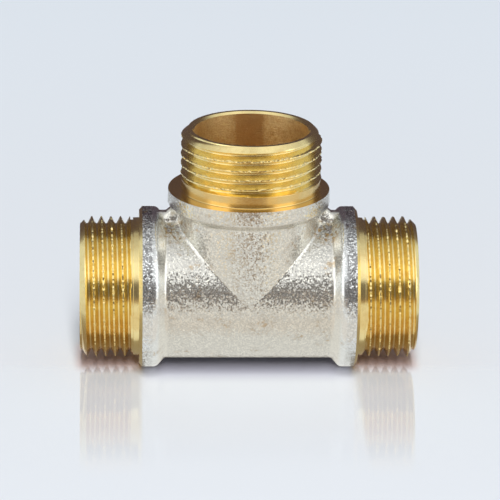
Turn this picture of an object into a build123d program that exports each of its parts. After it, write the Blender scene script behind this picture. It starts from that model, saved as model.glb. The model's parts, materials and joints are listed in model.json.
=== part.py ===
from build123d import *
import math
import os

# Threaded tee: a hot-forged brass body with three machined G 3/4 male ends.
# The run lies along X, the branch points up along +Z, and the floor is at Z = 0.
# All driving dimensions are in millimetres.

# Pipe thread G 3/4, cut a little under its full size
thread_crest_radius = 13.16
end_face_radius = 11.85
end_zone_length = 11.3
plain_band_radius = 13.05
plain_band_length = 1.3
relief_radius = 12.65
relief_fall = 0.2
relief_length = 0.6
bore_radius = 10.72

# Overall reach, from the crossing of the two axes
run_half_length = 31.7
branch_height = 31.3
branch_axis_offset = 0.38

# Forged body
run_body_radius = 13.5
branch_body_radius = 13.45
crease_fillet = 0.7
collar_radius = 15.18
branch_collar_radius = 15.15
collar_bevel_length = 0.4
collar_bevel_radius = 14.4
collar_crown_round = 2.5
run_flank_outer = 17.9
run_flank_inner = 15.3
branch_flank_outer = 16.7
branch_flank_inner = 15.4

# Trimmed parting line: webs in the two inner corners and lands under the collars
corner_rib_radius = 1.8
corner_rib_axis_height = 13.25
corner_web_top = 15.1
corner_web_outer = 17.5
corner_web_thickness = 1.6
corner_web_round = 0.7
corner_web_inset = 0.05
land_half_width = 1.6

# How far a joined or cut form runs into or past its neighbour
overlap = 1.0

# Worked out from the above
run_collar_face = run_half_length - end_zone_length
branch_collar_face = branch_height - end_zone_length
land_depth = collar_radius - math.sqrt(collar_radius**2 - land_half_width**2)
axis_height = collar_radius - land_depth
end_chamfer = thread_crest_radius - end_face_radius

# Where a turned form stands: its foot on the XY plane, growing along +Z
upright = (Align.CENTER, Align.CENTER, Align.MIN)


def collar_section(body_radius, collar, flank_inner, flank_outer, face):
    """Half section of a body and its collar, along +X from the crossing, for a turn about X."""
    outline = Polyline(
        (0, 0),
        (0, body_radius),
        (flank_inner, body_radius),
        (flank_outer, collar),
        (face - collar_bevel_length, collar),
        (face, collar_bevel_radius),
        (face, 0),
        close=True,
    )
    return make_face(outline)


def forged_half_run():
    """One half of the run's body, from the crossing to the collar's face, along +X."""
    section = collar_section(
        run_body_radius, collar_radius, run_flank_inner, run_flank_outer, run_collar_face
    )
    crown = section.vertices().sort_by_distance((run_flank_outer, collar_radius, 0))[0]
    return revolve(fillet(crown, collar_crown_round), axis=Axis.X)


def forged_branch_collar():
    """The branch's body and collar, turned up along +Z."""
    section = collar_section(
        branch_body_radius,
        branch_collar_radius,
        branch_flank_inner,
        branch_flank_outer,
        branch_collar_face,
    )
    along_x = revolve(section, axis=Axis.X)
    return along_x.rotate(Axis.Y, -90)


def crossing_body():
    """The two plain cylinders of the body, with a small fillet along the crease where they meet."""
    run = Rot(0, 90, 0) * Cylinder(run_body_radius, 2 * run_flank_inner)
    branch = Cylinder(branch_body_radius, branch_flank_inner, align=upright)
    body = run + branch
    creases = body.edges().filter_by(GeomType.BSPLINE)
    return fillet(creases, crease_fillet)


def corner_web(side):
    """Web in an inner corner: a half-round rib under the flat trimmed land of the parting line."""
    root = branch_body_radius - overlap
    rib_length = corner_web_outer - root
    rib_centre = side * (root + rib_length / 2)
    rib_bar = Rot(0, 90, 0) * Cylinder(corner_rib_radius, rib_length)
    rib = Pos(rib_centre, 0, corner_rib_axis_height) * rib_bar

    # The land's own outline stops just inside the branch collar, and a hollow arc leads up to it
    wall = branch_collar_radius - corner_web_inset
    arc_centre = (wall + corner_web_round, corner_web_top + corner_web_round)
    hollow = CenterArc(arc_centre, corner_web_round, 180, 90)
    sides = Polyline(
        (wall, corner_web_top + corner_web_round),
        (wall, branch_flank_outer),
        (root, branch_flank_outer),
        (root, corner_rib_axis_height),
        (corner_web_outer, corner_rib_axis_height),
        (corner_web_outer, corner_web_top),
        (wall + corner_web_round, corner_web_top),
    )
    land = extrude(Plane.XZ * make_face(sides + hollow), corner_web_thickness / 2, both=True)
    if side < 0:
        land = mirror(land, about=Plane.YZ)
    return rib + land


def male_end():
    """A machined end along +Z from the collar's face: plain band, relief, thread blank, chamfer."""
    relief_end = plain_band_length + relief_length
    section = make_face(
        Polyline(
            (0, -overlap),
            (plain_band_radius, -overlap),
            (plain_band_radius, plain_band_length),
            (relief_radius, plain_band_length + relief_fall),
            (thread_crest_radius, relief_end),
            (thread_crest_radius, end_zone_length - end_chamfer),
            (end_face_radius, end_zone_length),
            (0, end_zone_length),
            close=True,
        )
    )
    return revolve(Plane.XZ * section, axis=Axis.Z)


def bore_cut(length):
    """A drilled waterway along +Z, from the crossing out past the mouth."""
    return Cylinder(bore_radius, length + overlap, align=upright)


to_right = Rot(0, 90, 0)
to_left = Rot(0, -90, 0)
branch_axis = Pos(branch_axis_offset, 0, 0)

half_run = forged_half_run()
tee = crossing_body() + half_run + mirror(half_run, about=Plane.YZ) + forged_branch_collar()
for side in (-1, 1):
    tee += corner_web(side)

tee += to_right * Pos(0, 0, run_collar_face) * male_end()
tee += to_left * Pos(0, 0, run_collar_face) * male_end()
tee += branch_axis * Pos(0, 0, branch_collar_face) * male_end()
tee -= to_right * bore_cut(run_half_length)
tee -= to_left * bore_cut(run_half_length)
tee -= branch_axis * bore_cut(branch_height)

# The trimming die leaves a narrow flat land under each run collar, and the tee rests on them
below_floor = (Align.CENTER, Align.CENTER, Align.MAX)
floor_cut = Box(3 * run_half_length, 3 * collar_radius, collar_radius, align=below_floor)
tee = Pos(0, 0, axis_height) * tee - floor_cut

os.makedirs("parts", exist_ok=True)
export_step(tee, "parts/tee_body.step")
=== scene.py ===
"""Dresses the threaded tee: a blasted, nickel-plated forging with three bare brass male ends.

Everything is in metres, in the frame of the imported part: the run along X, the branch up along Z.
"""

from __future__ import annotations

import json
import logging
import math
from dataclasses import dataclass, field
from enum import Enum

import bmesh
import bpy
import numpy as np
from mathutils import Matrix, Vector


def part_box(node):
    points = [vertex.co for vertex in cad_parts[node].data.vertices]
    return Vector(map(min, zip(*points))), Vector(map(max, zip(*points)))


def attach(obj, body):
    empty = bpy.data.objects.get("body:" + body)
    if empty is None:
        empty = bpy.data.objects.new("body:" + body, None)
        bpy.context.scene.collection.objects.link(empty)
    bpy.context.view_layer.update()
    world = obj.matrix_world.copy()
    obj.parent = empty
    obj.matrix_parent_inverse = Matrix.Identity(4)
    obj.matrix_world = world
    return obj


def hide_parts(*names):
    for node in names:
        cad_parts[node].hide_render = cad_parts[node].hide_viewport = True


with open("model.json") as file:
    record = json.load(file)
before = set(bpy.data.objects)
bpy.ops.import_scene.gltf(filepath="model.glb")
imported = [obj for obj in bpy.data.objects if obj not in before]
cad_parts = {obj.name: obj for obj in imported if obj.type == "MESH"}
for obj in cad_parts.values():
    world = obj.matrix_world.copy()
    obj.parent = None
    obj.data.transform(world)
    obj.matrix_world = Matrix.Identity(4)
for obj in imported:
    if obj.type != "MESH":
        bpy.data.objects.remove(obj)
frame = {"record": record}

Array = np.ndarray
Object = bpy.types.Object
Material = bpy.types.Material
Tree = bpy.types.NodeTree
Node = bpy.types.Node
Span = tuple[float, float]
Colour = tuple[float, float, float]
Place = tuple[float, float, float]

LOG = logging.getLogger("threaded_tee")
MM = 0.001
NODE = "tee_body"
BODY = "root"
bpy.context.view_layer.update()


def mount_position(name: str) -> Array:
    """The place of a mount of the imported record, in metres."""
    mounts = {mount["name"]: mount for mount in frame["record"]["mounts"]}
    return np.array(mounts[name]["pos_m"])


AXIS_HEIGHT = float(mount_position("run_right")[2])
BRANCH_OFFSET = float(mount_position("branch")[0])
RUN_REACH = float(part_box(NODE)[1][0])
BRANCH_REACH = float(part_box(NODE)[1][2]) - AXIS_HEIGHT


class Finish(Enum):
    """The record's material slots."""

    NICKEL = "nickel_plate"
    BRASS = "turned_brass"


class End(Enum):
    """The three male ends, each with the axes of its own lathe frame: its X, its Y, and outwards."""

    LEFT = ((0, 0, 1), (0, 1, 0), (-1, 0, 0))
    RIGHT = ((0, 1, 0), (0, 0, 1), (1, 0, 0))
    BRANCH = ((1, 0, 0), (0, 1, 0), (0, 0, 1))

    @property
    def turn(self) -> Array:
        """The matrix whose columns are the three axes."""
        return np.array(self.value, dtype=float).T


def smooth_step(low: float, high: float, value: Array) -> Array:
    """0 below low and 1 above high, with the cubic 3t^2 - 2t^3 between them."""
    t = np.clip((value - low) / (high - low), 0.0, 1.0)
    return t * t * (3.0 - 2.0 * t)


def smooth_max(first: Array, second: Array, blend: float) -> Array:
    """The larger of two heights, rounded over blend where they are nearly the same.

    The formula is max(a, b) + h^3 * blend / 6, with h = max(blend - |a - b|, 0) / blend.
    """
    near = np.maximum(blend - np.abs(first - second), 0.0) / blend
    return np.maximum(first, second) + near**3 * blend / 6.0


def spread(start: Array, end: Array | float, rows: int) -> Array:
    """Rows that lead in even steps from one row of numbers to another, or to one number."""
    return start + (end - start) * np.linspace(0.0, 1.0, rows)[:, None]


def grid_quads(rows: int, columns: int) -> Array:
    """The corner numbers of the quads between each four neighbours of a grid, row after row."""
    corner = (np.arange(rows - 1)[:, None] * columns + np.arange(columns - 1)[None, :]).ravel()
    return np.stack([corner, corner + 1, corner + columns + 1, corner + columns], axis=1)


def rounded_line(corners: list[Span], radii: list[float], steps: int) -> Array:
    """A line through corners whose inner corners are turned into arcs.

    Args:
        corners: points (along the axis, radius).
        radii: the arc's radius at each inner corner, or 0 to keep it sharp.
        steps: points on each arc.

    Returns:
        The points, as rows. An arc touches both legs at radius * tan(half the turn) from its corner.
    """
    points = [np.array(corners[0], dtype=float)]
    for before, corner, after, radius in zip(corners, corners[1:], corners[2:], radii):
        here = np.array(corner, dtype=float)
        into = here - np.array(before, dtype=float)
        out = np.array(after, dtype=float) - here
        into /= np.linalg.norm(into)
        out /= np.linalg.norm(out)
        turn = math.acos(float(np.clip(into @ out, -1.0, 1.0)))
        if radius == 0 or turn < 1e-6:
            points.append(here)
            continue
        reach = radius * math.tan(turn / 2)
        side = out - into * (into @ out)
        centre = here - into * reach + side / np.linalg.norm(side) * radius
        start = here - into * reach - centre
        angles = np.linspace(0.0, turn, steps)[:, None]
        points.extend(centre + start * np.cos(angles) + into * radius * np.sin(angles))
    points.append(np.array(corners[-1], dtype=float))
    return np.array(points)


@dataclass
class Patch:
    """One grid of points, with what its faces wear.

    points has shape (rows, columns, 3) and marks (rows, columns, 2). On a turned face marks holds the
    turn round the axis and the way along the profile. slot is the index of the material.
    """

    points: Array
    marks: Array
    slot: int = 0


@dataclass
class Skin:
    """Patches that are welded along their shared edges into one closed mesh."""

    name: str
    patches: list[Patch] = field(default_factory=list)
    weld: float = 0.002 * MM
    crease: float = math.radians(32)

    def add(self, points: Array, marks: Array, slot: int = 0) -> None:
        """Adds one patch."""
        self.patches.append(Patch(points, marks, slot))

    def build(self, materials: list[Material]) -> Object:
        """Makes the mesh, with a quad between each four neighbours of a patch.

        Args:
            materials: the finishes that the patches' slots name.

        Returns:
            The object, at the origin, welded, closed and facing outwards.
        """
        points, quads, marks, slots, first = [], [], [], [], 0
        for patch in self.patches:
            rows, columns = patch.points.shape[:2]
            quads.append(first + grid_quads(rows, columns))
            points.append(patch.points.reshape(-1, 3))
            marks.append(patch.marks.reshape(-1, 2))
            slots.append(np.full(len(quads[-1]), patch.slot))
            first += rows * columns
        faces = np.concatenate(quads)
        mesh = bpy.data.meshes.new(self.name)
        mesh.from_pydata(np.concatenate(points), [], faces)
        mesh.polygons.foreach_set("material_index", np.concatenate(slots).astype(np.int32))
        lathe = mesh.uv_layers.new(name="lathe")
        lathe.data.foreach_set("uv", np.concatenate(marks)[faces.ravel()].astype(np.float32).ravel())
        self.close(mesh)
        for material in materials:
            mesh.materials.append(material)
        piece = bpy.data.objects.new(self.name, mesh)
        bpy.context.scene.collection.objects.link(piece)
        return piece

    def close(self, mesh: bpy.types.Mesh) -> None:
        """Welds the patches, drops faces with no area, turns all faces outwards and marks creases."""
        work = bmesh.new()
        work.from_mesh(mesh)
        bmesh.ops.remove_doubles(work, verts=work.verts, dist=self.weld)
        bmesh.ops.dissolve_degenerate(work, dist=self.weld, edges=work.edges)
        bmesh.ops.recalc_face_normals(work, faces=work.faces)
        if work.calc_volume(signed=True) < 0:
            bmesh.ops.reverse_faces(work, faces=work.faces)
        open_edges = sum(1 for edge in work.edges if not edge.is_manifold)
        LOG.info("%s: %d faces, %d open edges", self.name, len(work.faces), open_edges)
        work.to_mesh(mesh)
        work.free()
        mesh.shade_smooth()
        mesh.set_sharp_from_angle(angle=self.crease)


def held(profile: Array, reach: float) -> Array:
    """Adds a point just inside both ends of every long straight, so that it shades flat all along.

    Args:
        profile: rows (along the axis, radius).
        reach: how far inside the ends the new points lie.

    Returns:
        The profile with the added rows.
    """
    rows = [profile[0]]
    for start, end in zip(profile[:-1], profile[1:]):
        length = np.hypot(*(end - start))
        if length > 4.0 * reach:
            rows.append(start + (end - start) * reach / length)
            rows.append(end - (end - start) * reach / length)
        rows.append(end)
    return np.array(rows)


def turned(profile: Array, angles: Array) -> tuple[Array, Array]:
    """A profile turned about the lathe axis.

    Args:
        profile: rows (along the axis, radius).
        angles: the angles of the columns.

    Returns:
        Points (r cos a, r sin a, along), and marks (a, length of the profile so far).
    """
    along = profile[:, 0][:, None] + 0.0 * angles
    radius = profile[:, 1][:, None] + 0.0 * angles
    points = np.stack([radius * np.cos(angles), radius * np.sin(angles), along], axis=2)
    steps = np.hypot(*np.diff(profile, axis=0).T)
    length = np.concatenate([[0.0], np.cumsum(steps)])
    return points, np.stack([angles + 0.0 * along, length[:, None] + 0.0 * angles], axis=2)


@dataclass
class PipeThread:
    """A G 3/4 thread: the ridge's height over the axis as a function of the way from its crest.

    The heights that the die tore up or chipped count in burrs, and burr_fade counts in crest flats.
    """

    crest_radius: float = 13.16 * MM
    root_radius: float = 11.93 * MM
    pitch: float = 25.4 * MM / 14
    flank_angle: float = math.radians(27.5)
    crest_flat: float = 0.14 * MM
    crest_blend: float = 0.06 * MM
    root_blend: float = 0.1 * MM
    burr: float = 0.11 * MM
    burr_length: float = 0.29 * MM
    unevenness: float = 0.45
    torn_share: float = 0.12
    torn: Span = (0.5, 1.4)
    chipped_share: float = 0.04
    chip: float = 2.2
    burr_fade: Span = (0.7, 1.4)

    @property
    def stations(self) -> Array:
        """The rows of one turn, as parts of a pitch from the crest, closer where the ridge bends."""
        half_flat = self.crest_flat / self.pitch
        flank_width = (self.crest_radius - self.root_radius) * math.tan(self.flank_angle) / self.pitch
        foot = half_flat + flank_width
        flank = np.linspace(half_flat + 0.025, foot - 0.03, 4)
        crest = [half_flat * 0.55, half_flat * 0.95]
        half = np.concatenate([crest, flank, [foot, 0.5 - (0.5 - foot) * 0.35]])
        return np.concatenate([[0.0], half, [0.5], 1.0 - half[::-1]])

    def ridge(self, away: Array) -> Array:
        """The radius at a distance from the crest line: a flat, a 27.5 degree flank, then the root.

        Both bends are rounded with the smooth maximum and its mirror.
        """
        flank = self.crest_radius - (away - self.crest_flat) / math.tan(self.flank_angle)
        top = -smooth_max(-flank, np.full_like(away, -self.crest_radius), self.crest_blend)
        return smooth_max(top, np.full_like(away, self.root_radius), self.root_blend)

    def burrs(self, along_helix: Array, away: Array, seed: int) -> Array:
        """What the die tore up or chipped on the crest: seeded heights along the helix, in burrs.

        Args:
            along_helix: the length run along the crest.
            away: the distance from the crest line.
            seed: which end this is.

        Returns:
            The change of radius, which fades over the top of the flanks.
        """
        draws = np.random.default_rng(seed)
        count = int(np.ptp(along_helix) / self.burr_length) + 3
        heights = draws.normal(0.0, self.unevenness, count)
        heights += (draws.random(count) < self.torn_share) * draws.uniform(*self.torn, count)
        heights -= (draws.random(count) < self.chipped_share) * self.chip
        places = along_helix.min() + np.arange(count) * self.burr_length
        full, gone = self.burr_fade
        fade = 1.0 - smooth_step(self.crest_flat * full, self.crest_flat * gone, away)
        return self.burr * np.interp(along_helix, places, heights) * fade


@dataclass
class TurnedEnd:
    """A machined male end in its lathe frame, which starts at the collar's face and points outwards.

    shading_reach and bevel_row place the extra rows that keep the band and the bevel flat in the light.
    """

    end: End
    name: str
    origin: Array
    crest_at: float
    crest_turn: float
    seed: int
    eccentric: float = 0.0
    collar_radius: float = 15.18 * MM
    length: float = 11.3 * MM
    bevel_depth: float = 0.42 * MM
    seat: float = 0.42 * MM
    face_at: float = 0.15 * MM
    bevel_radius: float = 14.5 * MM
    band_radius: float = 13.05 * MM
    band_length: float = 1.28 * MM
    relief_radius: float = 12.62 * MM
    relief_end: float = 1.74 * MM
    relief_step: float = 0.04 * MM
    thread_start: float = 1.86 * MM
    run_out: float = 1.3 * MM
    root_round: float = 0.12 * MM
    band_round: float = 0.08 * MM
    shading_reach: float = 0.05 * MM
    bevel_row: float = 0.06
    face_radius: float = 11.85 * MM
    bore_radius: float = 10.72 * MM
    mouth_chamfer: float = 0.4 * MM
    thread: PipeThread = field(default_factory=PipeThread)
    columns: int = 480

    @property
    def angles(self) -> Array:
        """The columns, once round from the phase's own angle."""
        return np.linspace(0.0, 2.0 * math.pi, self.columns + 1) + self.crest_turn

    @property
    def bevel_slope(self) -> float:
        """How far the collar's bevel falls back for each metre of radius."""
        return (self.bevel_depth + self.face_at) / (self.collar_radius - self.bevel_radius)

    def place(self, points: Array) -> Array:
        """From the lathe frame to the part's frame, cut off at the floor as the forging's lands are."""
        out = points @ self.end.turn.T + self.origin
        out[..., 2] = np.maximum(out[..., 2], 0.0)
        return out

    def collar_edge(self, angles: Array) -> Array:
        """Where the bevel leaves the forging, which may be off the lathe's centre.

        The radius r meets a circle of collar_radius whose centre is at -eccentric on X:
        r = sqrt(R^2 - e^2 sin^2) - e cos. The depth grows with r - bevel_radius.
        """
        off = self.eccentric
        radius = np.sqrt(self.collar_radius**2 - (off * np.sin(angles)) ** 2) - off * np.cos(angles)
        depth = self.face_at - (radius - self.bevel_radius) * self.bevel_slope
        return np.stack([radius * np.cos(angles), radius * np.sin(angles), depth], axis=1)

    def blank(self, along: Array) -> Array:
        """The turned blank's radius along the axis: relief, a short rise, the crest, the chamfer."""
        highest = self.thread.crest_radius + self.thread.burr
        ends = [self.relief_end, self.thread_start]
        rise = np.interp(along, ends, [self.relief_radius, highest])
        chamfer = self.face_radius + (self.length - along)
        return np.minimum(rise, chamfer)

    def threaded(self) -> tuple[Array, Array]:
        """The thread as a grid that follows its own helix.

        A column is an angle and a row a station of a turn, so that a row climbs one pitch a turn. The
        rows are cut off at both ends of the zone, and the radius is the smaller of ridge and blank.

        Returns:
            Points in the lathe frame and their marks.
        """
        pitch = self.thread.pitch
        turns = int(self.length / pitch) + 2
        low = -math.ceil(self.crest_at / pitch) - 1
        stations = (np.arange(low, low + turns + 2)[:, None] + self.thread.stations[None, :]).ravel()
        helix = (self.angles - self.crest_turn) / (2.0 * math.pi)
        start = self.band_length + self.relief_step
        along = self.crest_at + pitch * (helix[None, :] + stations[:, None])
        along = np.clip(along, start, self.length)
        position = (along - self.crest_at) / pitch - helix[None, :]
        crest = np.round(position)
        away = np.abs(position - crest) * pitch
        run = (helix[None, :] + crest) * 2.0 * math.pi * self.thread.crest_radius
        before = np.clip((self.thread_start - along) / (self.thread_start - start), 0.0, 1.0)
        ridge = self.thread.ridge(away) + self.thread.burrs(run, away, self.seed) + self.run_out * before
        radius = np.minimum(ridge, self.blank(along))
        angle = self.angles[None, :] + 0.0 * along
        points = np.stack([radius * np.cos(angle), radius * np.sin(angle), along], axis=2)
        return points, np.stack([angle, along - radius], axis=2)

    def build(self, materials: list[Material]) -> Object:
        """Makes the closed mesh of the end.

        Args:
            materials: the turned brass and the bored brass.

        Returns:
            The piece.
        """
        skin = Skin(self.name)
        edge = self.collar_edge(self.angles)
        face = [
            (self.face_at, self.bevel_radius),
            (self.face_at, self.band_radius),
            (self.band_length, self.band_radius),
            (self.band_length + self.relief_step, self.relief_radius),
        ]
        shoulder = rounded_line(face, [self.root_round, self.band_round], 5)
        points, marks = turned(held(shoulder, self.shading_reach), self.angles)
        skin.add(self.place(points), marks)
        bevel = np.stack([edge, points[0] + (edge - points[0]) * self.bevel_row, points[0]])
        skin.add(self.place(bevel), np.stack([marks[0], marks[0], marks[0]]))

        points, marks = self.threaded()
        skin.add(self.place(points), marks)

        inner = [
            (self.length, self.face_radius),
            (self.length, self.bore_radius + self.mouth_chamfer),
            (self.length - self.mouth_chamfer, self.bore_radius),
            (self.length * 0.5, self.bore_radius),
            (-self.seat, self.bore_radius),
        ]
        points, marks = turned(np.array(inner), self.angles)
        skin.add(self.place(points[:3]), marks[:3])
        skin.add(self.place(points[2:]), marks[2:], slot=1)
        skin.add(self.place(np.stack([points[-1], edge])), np.stack([marks[-1], marks[-1]]))
        return skin.build(materials)


@dataclass
class CornerWeb:
    """The half-round web that the forging leaves in an inner corner, on the parting line.

    A patch is lifted only within near_radii of the parting line and between the two heights.
    """

    radius: float = 1.85 * MM
    axis_height: float = 13.28 * MM
    reach: float = 18.2 * MM
    wall_radius: float = 15.1 * MM
    hollow: float = 0.75 * MM
    blend: float = 0.5 * MM
    side_fall: float = 4.0
    end_fall: float = 3.0
    near_radii: float = 2.0
    heights: Span = (10.624 * MM, 16.4 * MM)

    def top(self, x: Array, y: Array) -> Array:
        """The web's height over the crossing of the axes: a half circle across, hollow at the wall.

        The half circle is axis_height + sqrt(radius^2 - y^2), falling away steeply beside it, and the
        hollow adds a quarter circle that climbs the branch collar's side.
        """
        inside = np.clip(1.0 - (y / self.radius) ** 2, 0.0, 1.0)
        height = self.axis_height + self.radius * np.sqrt(inside)
        height -= np.maximum(np.abs(y) - self.radius, 0.0) * self.side_fall
        near = np.clip((self.wall_radius + self.hollow - np.abs(x)) / self.hollow, 0.0, 1.0)
        climb = self.hollow * (1.0 - np.sqrt(1.0 - near**2))
        beyond = np.maximum(np.abs(x) - self.reach, 0.0) * self.end_fall
        return height + climb * inside - beyond

    def raise_over(self, points: Array) -> Array:
        """Lifts every point of a patch that lies under the web up to it, with a smooth foot."""
        x, y, z = points[..., 0], points[..., 1], points[..., 2]
        lifted = smooth_max(z, self.top(x, y), self.blend)
        low, high = self.heights
        touched = (np.abs(y) < self.near_radii * self.radius) & (z > low) & (z < high)
        out = points.copy()
        out[..., 2] = np.where(touched, lifted, z)
        return out


@dataclass
class ForgedBody:
    """The forging: two crossing cylinders with a filleted crease, three collars and two webs.

    A flank holds the place of its crown and of its root, along the axis. A lead says how far before the
    root the profile starts, and rounds are the radii at the root and at the crown.
    """

    run_radius: float = 13.5 * MM
    crease_fillet: float = 0.8 * MM
    run_collar_radius: float = 15.18 * MM
    branch_collar_radius: float = 15.15 * MM
    end_length: float = 11.3 * MM
    bevel_depth: float = 0.42 * MM
    bore_radius: float = 10.72 * MM
    run_flank: Span = (17.35 * MM, 15.75 * MM)
    run_lead: Span = (1.0 * MM, 0.05 * MM)
    run_rounds: Span = (0.9 * MM, 1.3 * MM)
    branch_flank: Span = (16.75 * MM, 15.55 * MM)
    branch_lead: float = 0.9 * MM
    branch_rounds: Span = (0.7 * MM, 0.6 * MM)
    parting_height: float = 0.07 * MM
    parting_half_width: float = 0.3 * MM
    parting_foot: float = 1.7
    fine_angle: float = math.radians(14)
    lower_columns: int = 220
    web: CornerWeb = field(default_factory=CornerWeb)

    @property
    def seam(self) -> float:
        """Where the nickel stops along the run, at the foot of the collar's bevel."""
        return RUN_REACH - self.end_length - self.bevel_depth

    @property
    def half_turn(self) -> Array:
        """Angles over the top from the front to the back, closer together near the parting plane."""
        start = math.pi / 2 - self.fine_angle
        end = math.pi / 2 + self.fine_angle
        rising = np.linspace(0.0, start, 90, endpoint=False)
        top = np.linspace(start, end, 68, endpoint=False)
        falling = np.linspace(end, math.pi, 91)
        return np.concatenate([rising, top, falling])

    @property
    def lower_half_turn(self) -> Array:
        """Angles under the run from the front to the back."""
        return np.linspace(0.0, math.pi, self.lower_columns)

    def led(self, start: Array, profile: Array, rows: int) -> tuple[Array, Array]:
        """A plain wall that leads from its own edge to a turned profile.

        Args:
            start: where the wall starts along its axis, for each column.
            profile: rows (along the axis, radius).
            rows: how many rows lead up to the profile.

        Returns:
            The way along the axis and the radius, for each row and column.
        """
        wall = spread(start, profile[0, 0], rows)
        along = np.concatenate([wall, profile[1:, :1] + 0.0 * start])
        radius = np.concatenate([np.full_like(wall, self.run_radius), profile[1:, 1:] + 0.0 * start])
        return along, radius

    def parting(self, points: Array, axis: Array) -> Array:
        """Raises the low ridge of the trimmed flash where the forging crosses the parting plane.

        Args:
            points: a patch, in the frame of the crossing.
            axis: 1 for the coordinates that count as outwards and 0 for the one along the axis.

        Returns:
            The points moved outwards by parting_height near y = 0.
        """
        width = self.parting_half_width
        foot = smooth_step(width, width * self.parting_foot, np.abs(points[..., 1]))
        rise = self.parting_height * (1.0 - foot)
        out = points * axis
        out = out / np.maximum(np.linalg.norm(out, axis=-1, keepdims=True), 1e-9)
        return points + out * rise[..., None]

    def run_profile(self) -> Array:
        """Rows (x, radius) from the end of the plain body over the flank to the collar's bevel."""
        outer, inner = self.run_flank
        far, near = self.run_lead
        corners = [
            (inner - far, self.run_radius),
            (inner - near, self.run_radius),
            (outer, self.run_collar_radius),
            (self.seam, self.run_collar_radius),
        ]
        return rounded_line(corners, self.run_rounds, 9)

    def branch_profile(self) -> Array:
        """Rows (height, radius) from the end of the plain branch up to the foot of its bevel."""
        outer, inner = self.branch_flank
        seam = BRANCH_REACH - self.end_length - self.bevel_depth
        corners = [
            (inner - self.branch_lead, self.run_radius),
            (inner, self.run_radius),
            (outer, self.branch_collar_radius),
            (seam, self.branch_collar_radius),
        ]
        return rounded_line(corners, self.branch_rounds, 7)

    def run_sheets(self, side: int) -> list[Array]:
        """Half of the run's skin, on one side of the crossing, from the crease out to the seam.

        The inner edge is where the fillet ends: x = (R + f) sin(angle) over the top and 0 below.

        Args:
            side: -1 for the left and 1 for the right.

        Returns:
            The upper and the lower sheet.
        """
        sheets = []
        profile = self.run_profile()
        for angles, sign in ((self.half_turn, 1.0), (self.lower_half_turn, -1.0)):
            start = (self.run_radius + self.crease_fillet) * np.sin(angles) * (sign > 0)
            along, radius = self.led(start, profile, 14)
            y = -radius * np.cos(angles)
            z = sign * radius * np.sin(angles)
            sheets.append(np.stack([side * along, y, z], axis=2))
        return sheets

    def crease(self, side: int) -> Array:
        """The fillet between run and branch on one side: an arc about the centre of a rolling ball.

        The ball's centre is (s, -c, s) * (R + f), with s and c the sine and cosine of the angle. The
        arc turns from the run's contact to the branch's by spherical interpolation.
        """
        angles = self.half_turn
        sine, cosine = np.sin(angles), np.cos(angles)
        reach = self.run_radius + self.crease_fillet
        centre = reach * np.stack([side * sine, -cosine, sine], axis=1)
        to_run = np.stack([0.0 * sine, cosine, -sine], axis=1)
        to_branch = np.stack([-side * sine, cosine, 0.0 * sine], axis=1)
        swing = np.arccos(np.clip(np.sum(to_run * to_branch, axis=1), -1.0, 1.0))[:, None]
        swing = np.maximum(swing, 1e-5)
        parts = np.linspace(0.0, 1.0, 8)[:, None, None]
        arc = (np.sin((1 - parts) * swing) * to_run + np.sin(parts * swing) * to_branch) / np.sin(swing)
        return centre + self.crease_fillet * arc

    def branch_sheet(self, side: int, edge: Array) -> Array:
        """Half of the branch's skin, from the crease's upper edge to the collar's edge.

        Args:
            side: -1 for the left and 1 for the right.
            edge: the seam with the turned end, at the angles of half_turn.

        Returns:
            The grid of points.
        """
        angles = self.half_turn
        profile = self.branch_profile()[:-1]
        foot = (self.run_radius + self.crease_fillet) * np.sin(angles)
        height, radius = self.led(foot, profile, 12)
        points = np.stack([side * radius * np.sin(angles), -radius * np.cos(angles), height], axis=2)
        points = self.parting(points, np.array([1.0, 1.0, 0.0]))
        return np.concatenate([points, edge[None]])

    def branch_edge(self, side: int, end: TurnedEnd) -> Array:
        """The seam with the branch's turned end, at the angles of half_turn about the forging's axis."""
        angles = self.half_turn
        x = self.branch_collar_radius * np.sin(angles) * side
        y = -self.branch_collar_radius * np.cos(angles)
        away = np.hypot(x - BRANCH_OFFSET, y)
        z = BRANCH_REACH - self.end_length + end.face_at - (away - end.bevel_radius) * end.bevel_slope
        return np.stack([x, y, z], axis=1)

    def waterway(self, side: int, branch_depth: float) -> list[Array]:
        """The bored walls on one side: two run sheets and a branch sheet that meet at x = e + r sin.

        Args:
            side: -1 for the left and 1 for the right.
            branch_depth: how far below its collar's face the branch's turned end starts.

        Returns:
            The upper and lower sheet of the run, and the branch's.
        """
        sheets = []
        reach = self.bore_radius
        for angles, sign in ((self.half_turn, 1.0), (self.lower_half_turn, -1.0)):
            start = BRANCH_OFFSET + side * reach * np.sin(angles) * (sign > 0)
            x = spread(start, side * self.seam, 6)
            y = -reach * np.cos(angles) + 0.0 * x
            z = sign * reach * np.sin(angles) + 0.0 * x
            sheets.append(np.stack([x, y, z], axis=2))
        angles = self.half_turn
        top = BRANCH_REACH - self.end_length - branch_depth
        z = spread(reach * np.sin(angles), top, 6)
        x = BRANCH_OFFSET + side * reach * np.sin(angles) + 0.0 * z
        y = -reach * np.cos(angles) + 0.0 * z
        sheets.append(np.stack([x, y, z], axis=2))
        return sheets

    def rest(self, points: Array) -> Array:
        """Shifts a patch from the crossing's frame to the floor's, and trims the lands under it."""
        out = points + np.array([0.0, 0.0, AXIS_HEIGHT])
        out[..., 2] = np.maximum(out[..., 2], 0.0)
        return out

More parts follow.
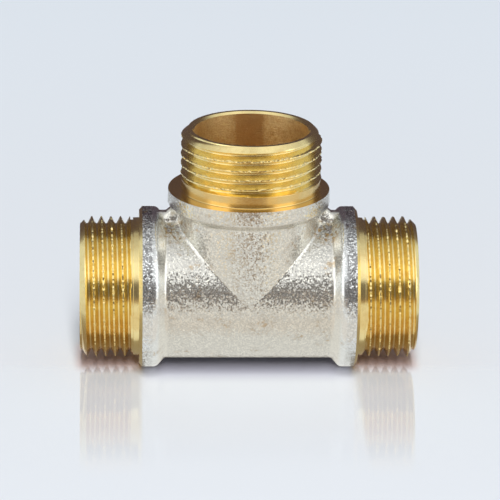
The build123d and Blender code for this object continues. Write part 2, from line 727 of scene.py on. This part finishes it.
    def build(self, branch_end: TurnedEnd, materials: list[Material]) -> Object:
        """Makes the closed mesh of the forging with its waterway.

        Args:
            branch_end: the end that the branch's collar edge follows.
            materials: the nickel plate and the bored brass.

        Returns:
            The piece.
        """
        skin = Skin("forged_body", crease=math.radians(40))
        for side in (-1, 1):
            edge = self.branch_edge(side, branch_end)
            outer = self.run_sheets(side)
            outer = [self.parting(sheet, np.array([0.0, 1.0, 1.0])) for sheet in outer]
            inner = self.waterway(side, branch_end.seat)
            branch = self.branch_sheet(side, edge)
            fillet = self.crease(side)
            # The branch's parting ridge runs on into the fillet's upper edge
            fillet[-1] = branch[0]
            for sheet in (*outer, fillet, branch):
                raised = self.rest(self.web.raise_over(sheet))
                skin.add(raised, raised[..., :2])
            for sheet in inner:
                bored = self.rest(sheet)
                skin.add(bored, np.stack([bored[..., 1], bored[..., 0] + bored[..., 2]], axis=2), slot=1)
            rims = [(a[-1], b[-1]) for a, b in zip((*outer, branch), inner)]
            for rim, bore in rims:
                ring = self.rest(np.stack([rim, bore]))
                skin.add(ring, ring[..., :2], slot=1)
        return skin.build(materials)


class Value:
    """A number socket of a node tree, so that shader maths reads as Python expressions."""

    def __init__(self, tree: Tree, socket: bpy.types.NodeSocket) -> None:
        """Wraps a socket of a tree."""
        self.tree = tree
        self.socket = socket

    def math(self, operation: str, *others: Value | float) -> Value:
        """A Math node whose inputs are this value and the others, in order."""
        inputs = dict(enumerate((self, *others)))
        return add_node(self.tree, "ShaderNodeMath", {"operation": operation}, inputs)

    def __add__(self, other: Value | float) -> Value:
        """self + other."""
        return self.math("ADD", other)

    def __sub__(self, other: Value | float) -> Value:
        """self - other."""
        return self.math("SUBTRACT", other)

    def __rsub__(self, other: float) -> Value:
        """other - self."""
        return self * -1.0 + other

    def __mul__(self, other: Value | float) -> Value:
        """self * other."""
        return self.math("MULTIPLY", other)

    def __pow__(self, other: float) -> Value:
        """self to the power of other."""
        return self.math("POWER", other)

    def __abs__(self) -> Value:
        """self without its sign."""
        return self.math("ABSOLUTE")

    __radd__ = __add__
    __rmul__ = __mul__

    def between(self, start: float, full: float) -> Value:
        """0 before start and 1 past full, smooth between them, whichever of the two is larger."""
        settings = {"interpolation_type": "SMOOTHSTEP"}
        inputs = {0: self, 1: start, 2: full, 3: 0.0, 4: 1.0}
        return add_node(self.tree, "ShaderNodeMapRange", settings, inputs)


def add_node(
    tree: Tree,
    kind: str,
    settings: dict[str, object],
    inputs: dict[int | str, object],
    output: int | str = 0,
) -> Value:
    """Adds one node.

    Args:
        tree: the node tree.
        kind: the node's type.
        settings: its properties, and "stops" for the stops of a ramp.
        inputs: values or links for its sockets, by index or name.
        output: the socket to give back.

    Returns:
        The output socket, wrapped.
    """
    node = tree.nodes.new(kind)
    for name, setting in settings.items():
        if name == "stops":
            ramp = node.color_ramp
            while len(ramp.elements) < len(setting):
                ramp.elements.new(0.5)
            for element, (position, colour) in zip(ramp.elements, setting):
                element.position = position
                element.color = colour
        else:
            setattr(node, name, setting)
    for key, value in inputs.items():
        if isinstance(value, Value):
            tree.links.new(value.socket, node.inputs[key])
        else:
            node.inputs[key].default_value = value
    return Value(tree, node.outputs[output])


def channels(vector: Value, kind: str = "ShaderNodeSeparateXYZ") -> list[Value]:
    """The three numbers of a vector, or of a colour where kind is the node that separates colours."""
    first = add_node(vector.tree, kind, {}, {0: vector})
    return [Value(vector.tree, output) for output in first.socket.node.outputs]


def object_place(tree: Tree) -> Value:
    """The place on the object, in metres."""
    return add_node(tree, "ShaderNodeTexCoord", {}, {}, "Object")


def map_place(tree: Tree, name: str) -> Value:
    """The place on one of the mesh's own maps."""
    return add_node(tree, "ShaderNodeUVMap", {"uv_map": name}, {})


def blend_colours(part: Value, first: object, second: object) -> Value:
    """A Mix node between two colours or colour links."""
    inputs = {0: part}
    for index, colour in ((6, first), (7, second)):
        inputs[index] = colour if isinstance(colour, Value) else (*colour, 1.0)
    return add_node(part.tree, "ShaderNodeMix", {"data_type": "RGBA"}, inputs, 2)


def new_material(name: str) -> tuple[Material, Tree, Node]:
    """A material with its tree and its Principled node."""
    material = bpy.data.materials.new(name)
    material.use_nodes = True
    tree = material.node_tree
    return material, tree, tree.nodes["Principled BSDF"]


def wire(node: Node, links: dict[str, Value]) -> None:
    """Links values to a shader's sockets by name."""
    for name, value in links.items():
        value.tree.links.new(value.socket, node.inputs[name])


def wire_metal(shader: Node, colour: Value, rough: Value, relief: Value, depth: float) -> None:
    """Makes a Principled node bare metal, with a relief whose heights count in depths."""
    bump = {"Strength": 1.0, "Distance": depth, "Height": relief}
    normal = add_node(relief.tree, "ShaderNodeBump", {}, bump)
    wire(shader, {"Base Color": colour, "Roughness": rough, "Normal": normal})
    shader.inputs["Metallic"].default_value = 1.0


def show(tree: Tree, shader: Node) -> None:
    """Makes a shader the material's surface."""
    tree.links.new(shader.outputs[0], tree.nodes["Material Output"].inputs["Surface"])


def show_mixed(part: Value, first: Node, second: Node) -> None:
    """Makes two shaders the material's surface, with the second one where part is 1."""
    mix = part.tree.nodes.new("ShaderNodeMixShader")
    for index, socket in enumerate((part.socket, first.outputs[0], second.outputs[0])):
        part.tree.links.new(socket, mix.inputs[index])
    show(part.tree, mix)


@dataclass(frozen=True)
class Cloud:
    """Noise: the width of its features in metres, its octaves, and how strong the finer ones are."""

    size: float
    detail: float
    rough: float

    def over(self, place: Value) -> Value:
        """The noise at a place."""
        inputs = {"Scale": 1.0 / self.size, "Detail": self.detail, "Roughness": self.rough}
        return add_node(place.tree, "ShaderNodeTexNoise", {}, {"Vector": place, **inputs}, "Fac")


@dataclass(frozen=True)
class NickelPlate:
    """Satin nickel over a blasted forging: fine tilted facets, grey pits and a few brown stains, with
    more grey pits on the upper part of the collars as painted shade.

    A Span says where a mask starts and where it is full. Ways count from the middle of the run and
    heights from its axis. A number that ends in calm says how much of the relief a mask takes away.
    """

    colour: Colour = (0.82, 0.81, 0.75)
    collar_colour: Colour = (0.86, 0.89, 0.89)
    # The grey of the pits, and of the painted shade on the upper part of the collars.
    tarnish_and_painted_shade: Colour = (0.24, 0.24, 0.245)
    stain: Colour = (0.50, 0.31, 0.09)
    roughness: float = 0.16
    drift_roughness: float = 0.08
    dull_roughness: float = 0.1
    cell_size: float = 0.26 * MM
    facet_tilt: float = 0.32
    grain: Cloud = Cloud(0.30 * MM, 1.0, 0.5)
    grain_depth: float = 0.03 * MM
    drift: Cloud = Cloud(4.0 * MM, 3.0, 0.6)
    collar_way: Span = (16.6 * MM, 17.4 * MM)
    collar_grain: float = 0.1
    flank_inner: Span = (15.0 * MM, 15.5 * MM)
    flank_outer: Span = (18.3 * MM, 17.9 * MM)
    flank_calm: float = 0.75
    branch_side: Span = (-0.3 * MM, 0.5 * MM)
    branch_calm: float = 0.4
    pit_tone: Span = (0.15, 0.55)
    pits: float = 0.20
    upper_height: Span = (-2.0 * MM, 3.0 * MM)
    # Painted shade: the extra share of grey pits on the upper part of the collars.
    upper_collar_painted_shade: float = 0.67
    flank_bare: float = 0.6
    dull_drift: Span = (0.5, 0.72)
    dull_share: float = 0.12
    stain_at: Place = (14.4 * MM, -5.0 * MM, 12.6 * MM)
    stain_reach: Span = (4.0 * MM, 1.4 * MM)
    stain_drift: Span = (0.56, 0.70)
    stain_share: float = 0.5
    stain_cloud: Cloud = Cloud(0.8 * MM, 3.0, 0.6)
    stain_tone: Span = (0.46, 0.62)
    stain_limit: float = 0.85

    def facets(self, place: Value) -> tuple[Value, Value]:
        """Blasted facets: each Voronoi cell is a plane that leans by its own random vector.

        The plane's height is (random - 0.5) . (place - centre of the cell).

        Args:
            place: the place on the surface.

        Returns:
            A random tone for each cell, and the plane's height.
        """
        tree = place.tree
        blasting = {"Vector": place, "Scale": 1.0 / self.cell_size, "Randomness": 1.0}
        centre = add_node(tree, "ShaderNodeTexVoronoi", {}, blasting, "Position")
        random = add_node(tree, "ShaderNodeTexVoronoi", {}, blasting, "Color")
        less = {"operation": "SUBTRACT"}
        lean = add_node(tree, "ShaderNodeVectorMath", less, {0: random, 1: (0.5, 0.5, 0.5)})
        within = add_node(tree, "ShaderNodeVectorMath", less, {0: place, 1: centre})
        dot = {"operation": "DOT_PRODUCT"}
        height = add_node(tree, "ShaderNodeVectorMath", dot, {0: lean, 1: within}, "Value")
        return channels(random, "ShaderNodeSeparateColor")[0], height

    def material(self) -> Material:
        """Builds the node material."""
        material, tree, shader = new_material("nickel_plate")
        place = object_place(tree)
        x, y, z = channels(place)
        way, height = abs(x), z - AXIS_HEIGHT
        collar = way.between(*self.collar_way)
        flank = way.between(*self.flank_inner) * way.between(*self.flank_outer)
        branch = (height - way).between(*self.branch_side)
        tone, tilted = self.facets(place)
        relief = tilted * self.facet_tilt + self.grain.over(place) * self.grain_depth
        relief = relief * (collar * self.collar_grain + 1.0)
        relief = relief * (1.0 - flank * self.flank_calm) * (1.0 - branch * self.branch_calm)
        drift = self.drift.over(place)
        # Painted shade: the upper part of the collars gets more grey pits, which darken it.
        upper = collar * height.between(*self.upper_height)
        pits = tone.between(*self.pit_tone) * (upper * self.upper_collar_painted_shade + self.pits)
        dull_and_painted_shade = pits * (1.0 - flank * self.flank_bare) + drift.between(*self.dull_drift) * self.dull_share
        stain_x, stain_y, stain_height = self.stain_at
        away = ((way - stain_x) ** 2 + (y - stain_y) ** 2 + (height - stain_height) ** 2) ** 0.5
        stained = drift.between(*self.stain_drift) * self.stain_share + away.between(*self.stain_reach)
        stained = stained * self.stain_cloud.over(place).between(*self.stain_tone)
        colour = blend_colours(collar, self.colour, self.collar_colour)
        colour = blend_colours(dull_and_painted_shade, colour, self.tarnish_and_painted_shade)
        colour = blend_colours(stained.math("MINIMUM", self.stain_limit), colour, self.stain)
        rough = drift * self.drift_roughness + dull_and_painted_shade * self.dull_roughness + self.roughness
        wire_metal(shader, colour, rough, relief, 1.0)
        return material


@dataclass(frozen=True)
class TurnedBrass:
    """Bare brass off the lathe: bright, with fine rings that follow the tool, darker where soil and
    painted shade lie.

    Soil darkens clouds and grit. Painted shade darkens the undersides of the run's ends and the foot of
    the branch's thread, and a painted dark reflection runs down the back of the branch's bore. Spans and
    ways are those of the nickel plate.
    """

    name: str = "turned_brass"
    colour: Colour = (0.91, 0.76, 0.37)
    shade: Colour = (0.78, 0.57, 0.24)
    ring_size: float = 0.09 * MM
    ring_depth: float = 0.004 * MM
    ring_stretch: float = 0.0006
    roughness: float = 0.15
    cloud_roughness: float = 0.08
    ring_roughness: float = 0.05
    cloud: Cloud = Cloud(1.6 * MM, 4.0, 0.65)
    cloud_tone: Span = (0.42, 0.75)
    cloud_soil: float = 0.5
    # Painted shade on the undersides of the run's ends.
    under_height: Span = (-1.0 * MM, -6.0 * MM)
    under_way: Span = (21.9 * MM, 22.4 * MM)
    under_painted_shade: float = 0.8
    # Painted shade on the foot of the branch's thread.
    foot_lower: Span = (19.3 * MM, 19.5 * MM)
    foot_upper: Span = (22.0 * MM, 21.7 * MM)
    foot_painted_shade: float = 0.9
    # Painted dark reflection down the back of the branch's bore.
    stripe_way: Span = (3.0 * MM, 2.1 * MM)
    stripe_back: Span = (0.0, 2.0 * MM)
    stripe_height: Span = (14.0 * MM, 18.0 * MM)
    painted_reflection_stripe: float = 0.0
    grit: Cloud = Cloud(0.3 * MM, 2.0, 0.6)
    grit_tone: Span = (0.35, 0.65)
    speckle: float = 0.0

    def material(self) -> Material:
        """Builds the node material."""
        material, tree, shader = new_material(self.name)
        stretch = {"Vector": map_place(tree, "lathe"), "Scale": (self.ring_stretch, 1.0, 1.0)}
        rings = Cloud(self.ring_size, 3.0, 0.6).over(add_node(tree, "ShaderNodeMapping", {}, stretch))
        place = object_place(tree)
        x, y, z = channels(place)
        height = z - AXIS_HEIGHT
        cloud, grit = self.cloud.over(place), self.grit.over(place)
        # Painted dark reflection down the back of the branch's bore.
        painted_reflection_stripe = abs(x - BRANCH_OFFSET).between(*self.stripe_way) * y.between(*self.stripe_back)
        painted_reflection_stripe = painted_reflection_stripe * height.between(*self.stripe_height)
        # Painted shade on the undersides of the run's ends and on the foot of the branch's thread.
        under = height.between(*self.under_height) * abs(x).between(*self.under_way)
        foot = height.between(*self.foot_lower) * height.between(*self.foot_upper)
        # Soil from the clouds and grit, with the painted shade and the painted reflection, blends towards
        # the darker brass.
        soil_and_painted_shade = cloud.between(*self.cloud_tone) * self.cloud_soil
        soil_and_painted_shade = soil_and_painted_shade + under * self.under_painted_shade + foot * self.foot_painted_shade
        soil_and_painted_shade = soil_and_painted_shade + painted_reflection_stripe * self.painted_reflection_stripe + grit.between(*self.grit_tone) * self.speckle
        colour = blend_colours(soil_and_painted_shade.math("MINIMUM", 1.0), self.colour, self.shade)
        rough = cloud * self.cloud_roughness + rings * self.ring_roughness + self.roughness
        wire_metal(shader, colour, rough, grit * self.speckle + rings, self.ring_depth)
        return material


@dataclass(frozen=True)
class Floor:
    """The pale matt floor, with painted shade in the object's shadow and a mirror share that fades away.

    Under the run's ends a painted reflection of the brass tints the floor warm and darker, and under the
    body a painted shadow darkens it. Fronts and backs count along Y, and ways from the middle.
    """

    size: float = 3.0
    colour: Colour = (0.760, 0.787, 0.828)
    edge: Colour = (0.81, 0.86, 0.92)
    edge_away: Span = (0.02, 0.3)
    # Painted reflection of the brass, warm and darker, under the run's ends.
    below: Colour = (0.80, 0.64, 0.64)
    below_inner: Span = (19.0 * MM, 20.5 * MM)
    below_outer: Span = (33.5 * MM, 30.5 * MM)
    below_front: Span = (-8.0 * MM, -1.5 * MM)
    # Painted shadow, darker and bluer, under the body.
    painted_shadow: Colour = (0.50, 0.50, 0.61)
    beneath_way: Span = (20.5 * MM, 19.0 * MM)
    beneath_front: Span = (-13.0 * MM, -3.0 * MM)
    tint_back: Span = (12.0 * MM, 7.0 * MM)
    mirror: float = 0.10
    mirror_ends: float = 0.19
    mirror_way: Span = (19.5 * MM, 21.0 * MM)
    mirror_front: Span = (-60.0 * MM, -28.0 * MM)
    mirror_back: Span = (-1.0 * MM, -6.0 * MM)

    def material(self) -> Material:
        """Builds the node material: a matt shader, and a perfect mirror by a share."""
        material, tree, shader = new_material("floor")
        x, y, _ = channels(object_place(tree))
        way = abs(x)
        away = (x * x + y * y) ** 0.5
        colour = blend_colours(away.between(*self.edge_away), self.colour, self.edge)
        back = y.between(*self.tint_back)
        # Painted reflection of the brass under the run's ends.
        below = way.between(*self.below_inner) * way.between(*self.below_outer)
        colour = blend_colours(below * y.between(*self.below_front) * back, colour, self.below)
        # Painted shadow under the body.
        painted_shadow = way.between(*self.beneath_way) * y.between(*self.beneath_front) * back
        wire(shader, {"Base Color": blend_colours(painted_shadow, colour, self.painted_shadow)})
        shader.inputs["Roughness"].default_value = 1.0
        shader.inputs["Specular IOR Level"].default_value = 0.0
        mirror = tree.nodes.new("ShaderNodeBsdfGlossy")
        mirror.inputs["Roughness"].default_value = 0.0
        mirror.inputs["Color"].default_value = (1.0, 1.0, 1.0, 1.0)
        share = way.between(*self.mirror_way) * self.mirror_ends + self.mirror
        share = y.between(*self.mirror_front) * y.between(*self.mirror_back) * share
        show_mixed(share, shader, mirror)
        return material

    def points(self) -> Array:
        """A flat square round the object."""
        side = np.linspace(-self.size, self.size, 3)
        x, y = np.meshgrid(side, side, indexing="ij")
        return np.stack([x, y, 0.0 * x], axis=2)


@dataclass(frozen=True)
class DimCard:
    """A card that only the metal sees, with one glow in its middle and another at both sides.

    middle_half is the half width of the middle, as part of the card's own width.
    """

    name: str
    middle: Colour
    side: Colour
    middle_half: float = field(default=0.25, kw_only=True)

    def material(self) -> Material:
        """The card's glow; what the floor's mirror sends up passes through it."""
        material, tree, shader = new_material(self.name)
        tree.nodes.remove(shader)
        across = channels(map_place(tree, "sheet"))[0]
        away = abs(across - 0.5).between(self.middle_half, self.middle_half * 2.0)
        glow = tree.nodes.new("ShaderNodeEmission")
        wire(glow, {"Color": blend_colours(away, self.middle, self.side)})
        sharp = add_node(tree, "ShaderNodeLightPath", {}, {}, "Is Singular Ray")
        show_mixed(sharp, glow, tree.nodes.new("ShaderNodeBsdfTransparent"))
        return material


@dataclass(frozen=True)
class RoundCard(DimCard):
    """A curved card round the object; turn holds its sides in degrees about the vertical."""

    radius: float
    turn: Span
    high: float

    def points(self) -> Array:
        """Part of a cylinder that stands on the floor."""
        angles = np.radians(np.linspace(*self.turn, 33))
        z = np.array([0.0, self.high])[:, None] + 0.0 * angles
        x = self.radius * np.cos(angles) + 0.0 * z
        y = self.radius * np.sin(angles) + 0.0 * z
        return np.stack([x, y, z], axis=2)


@dataclass(frozen=True)
class FloorCard(DimCard):
    """A flat card in front: the distances of its edges, their half widths, and its height."""

    near: float
    far: float
    near_half: float
    far_half: float
    lift: float

    def points(self) -> Array:
        """The four corners."""
        x = np.array([[-self.near_half, self.near_half], [-self.far_half, self.far_half]])
        y = np.array([[-self.near, -self.near], [-self.far, -self.far]])
        return np.stack([x, y, self.lift + 0.0 * x], axis=2)


GLOW = (1.8, 1.8, 1.8)
PALE = (0.80, 0.74, 0.66)
GREY = (0.88, 0.88, 0.86)
ORANGE = (1.00, 0.70, 0.27)
BROWN = (0.45, 0.27, 0.09)
CREAM = (0.84, 0.83, 0.79)
SHADE = (0.34, 0.30, 0.25)
DARK = (0.100, 0.074, 0.085)
DUSK = (0.62, 0.60, 0.56)
DIM_ROOM = (
    RoundCard("dim_behind", DARK, DUSK, 0.12, (28.0, 152.0), 0.24, middle_half=0.36),
    RoundCard("dim_ahead", (0.16, 0.145, 0.14), (1.0, 1.0, 1.0), 0.60, (-140.0, -40.0), 0.32),
    RoundCard("side_glow_left", GLOW, GLOW, 0.55, (-165.0, -127.0), 0.65),
    RoundCard("side_glow_right", GLOW, GLOW, 0.55, (-53.0, -15.0), 0.65),
    FloorCard("floor_ahead", PALE, PALE, 0.018, 0.6, 0.6, 0.6, 0.2 * MM),
    FloorCard("floor_strip", (0.15, 0.095, 0.07), PALE, 0.15, 0.6, 0.064, 0.36, 0.4 * MM),
    FloorCard("floor_middle", GREY, GREY, 0.045, 0.106, 0.6, 0.6, 0.3 * MM),
    FloorCard("floor_glow", ORANGE, ORANGE, 0.104, 0.150, 0.3, 0.3, 0.5 * MM),
    FloorCard("floor_brown", BROWN, BROWN, 0.104, 0.150, 0.048, 0.064, 0.6 * MM),
    FloorCard("floor_under", CREAM, CREAM, 0.003, 0.018, 0.0195, 0.0195, 0.3 * MM),
    FloorCard("floor_near", SHADE, SHADE, 0.002, 0.012, 0.06, 0.06, 0.2 * MM),
)


@dataclass(frozen=True)
class Studio:
    """A pale floor, a soft panel overhead, and the dim room that shows only in the metal.

    The panel is part of a cylinder about X. Its levels run from its lower edge in front to its edge
    behind, and it is brighter by panel_sides beyond panel_middle, which counts in its widths.
    """

    panel_radius: float = 0.8
    panel_half_width: float = 0.9
    panel_turn: Span = (math.radians(28), math.radians(118))
    panel_strength: float = 1.4
    panel_levels: tuple[Span, ...] = ((0.0, 0.70), (0.08, 0.95), (0.30, 0.92), (0.60, 0.60), (1.0, 0.36))
    panel_middle: Span = (0.05, 0.11)
    panel_base: float = 0.86
    panel_sides: float = 0.24
    sky: Colour = (0.80, 0.85, 0.90)
    sky_diffuse: float = 0.28
    lamp_elevation: float = math.radians(46)
    lamp_distance: float = 3.0
    lamp_size: Span = (0.45, 2.0)
    lamp_power: float = 104.0
    camera_at: Place = (-26.695 * MM, -700.0 * MM, 245.363 * MM)
    yaw: float = math.radians(2.216)
    pitch: float = math.radians(-18.774)
    roll: float = math.radians(0.762)
    lens: float = 282.066
    sensor: float = 36.0
    nearest: float = 0.01

    def camera(self) -> None:
        """Sets the camera at the photograph's angle, from its yaw, pitch and roll."""
        level = math.cos(self.pitch)
        forward = np.array([math.sin(self.yaw) * level, math.cos(self.yaw) * level, math.sin(self.pitch)])
        right = np.array([math.cos(self.yaw), -math.sin(self.yaw), 0.0])
        up = np.cross(right, forward)
        rolled_right = right * math.cos(self.roll) + up * math.sin(self.roll)
        rolled_up = up * math.cos(self.roll) - right * math.sin(self.roll)
        place = np.array(self.camera_at) + np.array([0.0, 0.0, AXIS_HEIGHT])
        data = bpy.data.cameras.new("camera")
        data.lens = self.lens
        data.sensor_width = self.sensor
        data.clip_start = self.nearest
        camera = bpy.data.objects.new("camera", data)
        turn = Matrix(np.stack([rolled_right, rolled_up, -forward], axis=1).tolist())
        camera.matrix_world = Matrix.Translation(place.tolist()) @ turn.to_4x4()
        bpy.context.scene.collection.objects.link(camera)
        bpy.context.scene.camera = camera

    def card(self, name: str, points: Array, material: Material) -> Object:
        """A sheet that stands round the object, is no part of it and isn't seen by the camera."""
        rows, columns = points.shape[:2]
        quads = grid_quads(rows, columns)
        mesh = bpy.data.meshes.new(name)
        mesh.from_pydata(points.reshape(-1, 3), [], quads)
        down, across = np.meshgrid(np.linspace(0, 1, rows), np.linspace(0, 1, columns), indexing="ij")
        marks = np.stack([across, down], axis=2).reshape(-1, 2)
        layer = mesh.uv_layers.new(name="sheet")
        layer.data.foreach_set("uv", marks[quads.ravel()].astype(np.float32).ravel())
        mesh.materials.append(material)
        sheet = bpy.data.objects.new(name, mesh)
        bpy.context.scene.collection.objects.link(sheet)
        sheet.visible_camera = False
        return sheet

    def metal_only(self, name: str, points: Array, material: Material) -> None:
        """A card that shows in nothing but the reflections in the metal."""
        card = self.card(name, points, material)
        card.visible_diffuse = False
        card.visible_shadow = False
        card.visible_transmission = False

    def panel(self) -> None:
        """The overhead light: brightest in front, dimmer behind and along its middle."""
        material, tree, _ = new_material("soft_panel")
        across, along, _ = channels(map_place(tree, "sheet"))
        stops = [(position, (level, level, level, 1.0)) for position, level in self.panel_levels]
        level = add_node(tree, "ShaderNodeValToRGB", {"stops": stops}, {0: along})
        sides = abs(across - 0.5).between(*self.panel_middle) * self.panel_sides
        glow = tree.nodes.new("ShaderNodeEmission")
        wire(glow, {"Color": level, "Strength": (sides + self.panel_base) * self.panel_strength})
        show(tree, glow)
        angles = np.linspace(*self.panel_turn, 13)[:, None]
        x = np.linspace(-self.panel_half_width, self.panel_half_width, 3)[None, :] + 0.0 * angles
        y = -self.panel_radius * np.cos(angles) + 0.0 * x
        z = self.panel_radius * np.sin(angles) + 0.0 * x + AXIS_HEIGHT
        self.metal_only("soft_panel", np.stack([x, y, z], axis=2), material)

    def lamp(self) -> None:
        """The lamp that lights the floor from the front; the metal sees the panel instead."""
        data = bpy.data.lights.new("front_lamp", "AREA")
        data.shape = "RECTANGLE"
        data.size, data.size_y = self.lamp_size
        data.energy = self.lamp_power
        lamp = bpy.data.objects.new("front_lamp", data)
        rise, away = math.sin(self.lamp_elevation), math.cos(self.lamp_elevation)
        lamp.location = (0.0, -self.lamp_distance * away, self.lamp_distance * rise)
        lamp.rotation_euler = (math.pi / 2 - self.lamp_elevation, 0.0, 0.0)
        lamp.visible_glossy = False
        bpy.context.scene.collection.objects.link(lamp)

    def world(self) -> None:
        """A pale room: what the camera and the metal see of it is its colour, and it lights gently."""
        world = bpy.data.worlds.new("room")
        bpy.context.scene.world = world
        world.use_nodes = True
        tree = world.node_tree
        background = tree.nodes["Background"]
        background.inputs["Color"].default_value = (*self.sky, 1.0)
        path = tree.nodes.new("ShaderNodeLightPath")
        seen = Value(tree, path.outputs["Is Camera Ray"])
        seen = seen.math("MAXIMUM", Value(tree, path.outputs["Is Glossy Ray"]))
        seen = seen.math("MAXIMUM", Value(tree, path.outputs["Is Transmission Ray"]))
        wire(background, {"Strength": seen * (1.0 - self.sky_diffuse) + self.sky_diffuse})

    def build(self) -> None:
        """Sets the world, the floor, the panel, the dim cards, the lamp and the camera."""
        self.world()
        floor = Floor()
        self.card("floor", floor.points(), floor.material()).visible_camera = True
        self.panel()
        for card in DIM_ROOM:
            self.metal_only(card.name, card.points(), card.material())
        self.lamp()
        self.camera()


def dress(piece: Object, finish: Finish) -> None:
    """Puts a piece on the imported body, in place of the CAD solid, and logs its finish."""
    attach(piece, BODY)
    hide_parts(NODE)
    LOG.info("piece %s, finish %s", piece.name, finish.value)


def turned_ends() -> dict[End, TurnedEnd]:
    """The three ends, each with the place and the angle of one of its crests."""
    collar = RUN_REACH - TurnedEnd.length
    left = np.array([-collar, 0.0, AXIS_HEIGHT])
    right = np.array([collar, 0.0, AXIS_HEIGHT])
    branch = np.array([BRANCH_OFFSET, 0.0, AXIS_HEIGHT + BRANCH_REACH - TurnedEnd.length])
    return {
        End.LEFT: TurnedEnd(End.LEFT, "turned_end_left", left, 9.104 * MM, math.radians(18.8), 11),
        End.RIGHT: TurnedEnd(End.RIGHT, "turned_end_right", right, 8.95 * MM, math.radians(71.2), 23),
        End.BRANCH: TurnedEnd(
            End.BRANCH,
            "turned_end_branch",
            branch,
            8.235 * MM,
            math.radians(182.0),
            37,
            eccentric=BRANCH_OFFSET,
            collar_radius=ForgedBody.branch_collar_radius,
            bevel_depth=0.39 * MM,
            seat=1.1 * MM,
            face_at=-0.38 * MM,
            root_round=0.15 * MM,
            band_length=1.8 * MM,
            relief_radius=12.9 * MM,
            relief_end=1.9 * MM,
            thread_start=2.0 * MM,
        ),
    }


def main() -> None:
    """Builds the forging, its three turned ends and the studio, in that order."""
    logging.basicConfig(level=logging.INFO, format="%(message)s")
    nickel = NickelPlate().material()
    brass = TurnedBrass().material()
    bored = TurnedBrass(
        name="bored_brass",
        colour=(0.98, 0.78, 0.40),
        shade=(0.72, 0.47, 0.21),
        ring_size=0.16 * MM,
        ring_depth=0.06 * MM,
        roughness=0.32,
        speckle=0.5,
        # Painted dark reflection down the back of the branch's bore.
        painted_reflection_stripe=0.9,
    ).material()
    ends = turned_ends()
    dress(ForgedBody().build(ends[End.BRANCH], [nickel, bored]), Finish.NICKEL)
    for end in ends.values():
        dress(end.build([brass, bored]), Finish.BRASS)
    Studio().build()
    bpy.context.scene.view_settings.view_transform = "Standard"


if __name__ == "__main__":
    main()
